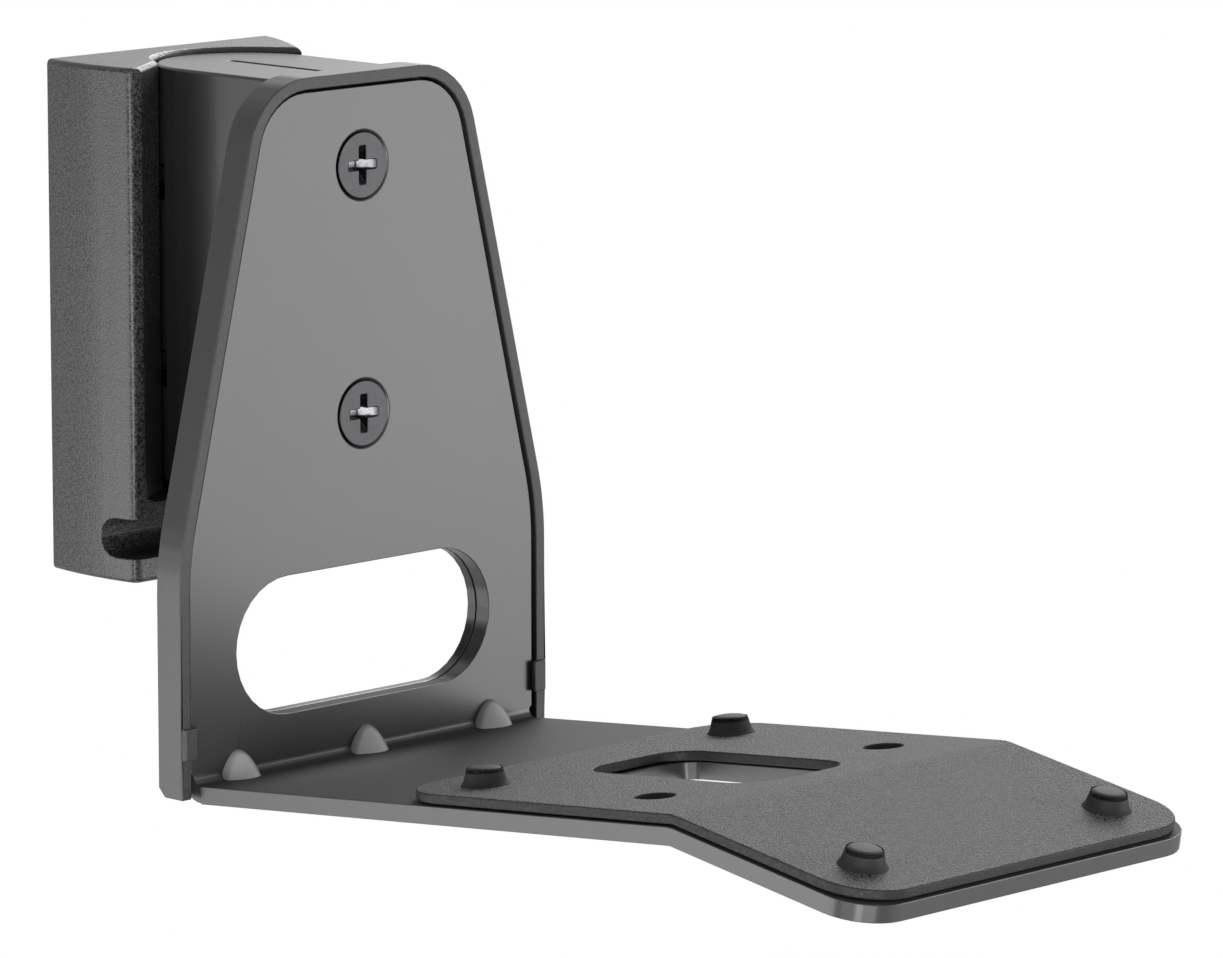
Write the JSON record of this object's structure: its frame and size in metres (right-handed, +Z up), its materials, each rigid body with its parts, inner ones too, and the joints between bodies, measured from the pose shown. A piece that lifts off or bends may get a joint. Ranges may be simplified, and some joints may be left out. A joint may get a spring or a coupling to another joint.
{
  "type": "speaker wall bracket",
  "caption": "Wall bracket for a small loudspeaker: moulded wall box with a swivelling arm that carries a folded steel support plate with a rubber pad.",
  "frame": {"origin": "on the wall, at the middle of the wall box's height and width (back face of the wall plate)", "axes": "+Z up, +X along the wall to the right as seen from the room, +Y into the wall; the bracket reaches out along -Y"},
  "size_m": [0.0854, 0.2022, 0.1192],
  "materials": {
    "cover_plastic": "fine spark-eroded texture, black",
    "arm_plastic": "satin, glass-filled, black",
    "coated_steel": "satin black powder coat",
    "pad_rubber": "fine matt texture, black",
    "black_zinc": "black zinc",
    "zinc": "bright zinc",
    "brass": "turned, knurled",
    "nylon": "plain, natural"
  },
  "bodies": {
    "wall_box": {"wall_plate": "coated_steel", "wall_cover": "cover_plastic", "cover_screw_left": "black_zinc", "cover_screw_right": "black_zinc", "tab_bush_upper": "nylon", "tab_bush_lower": "nylon"},
    "swivel_arm": {"arm_shell": "arm_plastic", "support_plate": "coated_steel", "pad": "pad_rubber", "plate_screw_upper": "black_zinc", "plate_screw_lower": "black_zinc", "pivot_bolt": "zinc", "pivot_nut": "zinc", "pivot_spring": "zinc", "insert_upper": "brass", "insert_lower": "brass", "friction_washer_under_upper": "nylon", "friction_washer_over_upper": "nylon", "friction_washer_under_lower": "nylon", "friction_washer_over_lower": "nylon"}
  },
  "joints": [
    {"name": "swivel", "type": "hinge", "parent": "wall_box", "child": "swivel_arm", "pos_m": [0, -0.0215, 0], "axis": [0, 0, 1], "range_deg": [-35, 35]}
  ]
}
